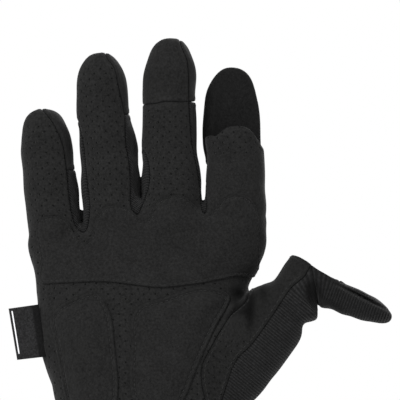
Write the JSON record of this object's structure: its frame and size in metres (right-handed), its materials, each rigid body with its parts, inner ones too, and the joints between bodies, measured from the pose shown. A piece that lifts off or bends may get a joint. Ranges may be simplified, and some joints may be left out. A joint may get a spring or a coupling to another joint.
{
  "type": "tactical glove",
  "caption": "Black right-hand tactical glove, worn shape, with perforated suede palm, padded heel patches and fold-back tips on index finger and thumb.",
  "frame": {"origin": "centre of the wrist opening, in the plane of the hem", "axes": "+Z along the fingers, -Y out of the palm, +X towards the thumb"},
  "size_m": [0.1694, 0.0537, 0.235],
  "materials": {
    "suede": "matt black synthetic suede, partly perforated",
    "knit": "fine black knitted side fabric",
    "ribbed": "black stretch fabric with fine raised ribs",
    "stretch": "plain black stretch fabric",
    "woven_tab": "dark grey woven tab with a thin pale stripe"
  },
  "bodies": {
    "root": {"palm_panel": "suede", "palm_overlay": "suede", "hypothenar_pad": "suede", "thenar_pad": "suede", "middle_tip_front": "suede", "little_tip_back": "suede", "ring_tip_back": "suede", "middle_tip_back": "suede", "side_strip_little_ring": "knit", "side_strip_ring_middle": "knit", "side_strip_middle_index": "knit", "back_panel": "stretch", "index_hood": "suede", "thumb_palm_panel": "suede", "thumb_back_panel": "ribbed", "thumb_hood": "ribbed", "cuff_hem": "stretch", "label": "woven_tab"}
  },
  "joints": []
}
